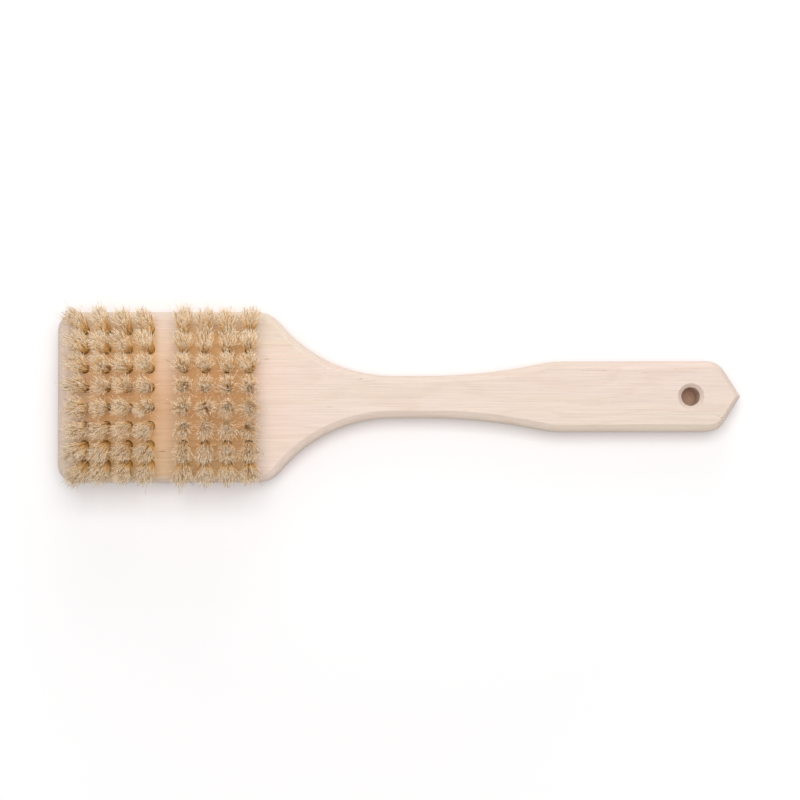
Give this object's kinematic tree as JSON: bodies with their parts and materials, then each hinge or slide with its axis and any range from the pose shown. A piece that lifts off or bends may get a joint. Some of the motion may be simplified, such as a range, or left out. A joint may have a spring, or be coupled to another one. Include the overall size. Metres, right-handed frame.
{
  "type": "body dry brush",
  "caption": "Long-handled flat wooden brush: a squared head with two banks of fanned bristle tufts, a slim neck, a wider grip with a pointed end and a hanging hole.",
  "frame": {"origin": "on the flat back face, under the middle of the brush's length and width", "axes": "+X from the toe of the head to the point of the handle, +Z from the back face towards the bristle tips, +Y across the head"},
  "size_m": [0.345, 0.0878, 0.0418],
  "materials": {
    "hardwood": "fine-sanded and unvarnished, straight fine grain along the handle",
    "bristle": "natural bristle, ochre at the foot and pale at the split tips, slight sheen",
    "anchor_wire": "flat drawn wire, cut to length"
  },
  "bodies": {
    "root": {"brush_body": "hardwood", "toe_bank_tufts_row_1": "bristle", "toe_bank_tufts_row_2": "bristle", "toe_bank_tufts_row_3": "bristle", "toe_bank_tufts_row_4": "bristle", "toe_bank_tufts_row_5": "bristle", "toe_bank_tufts_row_6": "bristle", "toe_bank_tufts_row_7": "bristle", "toe_bank_tufts_row_8": "bristle", "neck_bank_tufts_row_1": "bristle", "neck_bank_tufts_row_2": "bristle", "neck_bank_tufts_row_3": "bristle", "neck_bank_tufts_row_4": "bristle", "neck_bank_tufts_row_5": "bristle", "neck_bank_tufts_row_6": "bristle", "neck_bank_tufts_row_7": "bristle", "neck_bank_tufts_row_8": "bristle", "toe_bank_anchors_row_1": "anchor_wire", "toe_bank_anchors_row_2": "anchor_wire", "toe_bank_anchors_row_3": "anchor_wire", "toe_bank_anchors_row_4": "anchor_wire", "toe_bank_anchors_row_5": "anchor_wire", "toe_bank_anchors_row_6": "anchor_wire", "toe_bank_anchors_row_7": "anchor_wire", "toe_bank_anchors_row_8": "anchor_wire", "neck_bank_anchors_row_1": "anchor_wire", "neck_bank_anchors_row_2": "anchor_wire", "neck_bank_anchors_row_3": "anchor_wire", "neck_bank_anchors_row_4": "anchor_wire", "neck_bank_anchors_row_5": "anchor_wire", "neck_bank_anchors_row_6": "anchor_wire", "neck_bank_anchors_row_7": "anchor_wire", "neck_bank_anchors_row_8": "anchor_wire"}
  },
  "joints": []
}
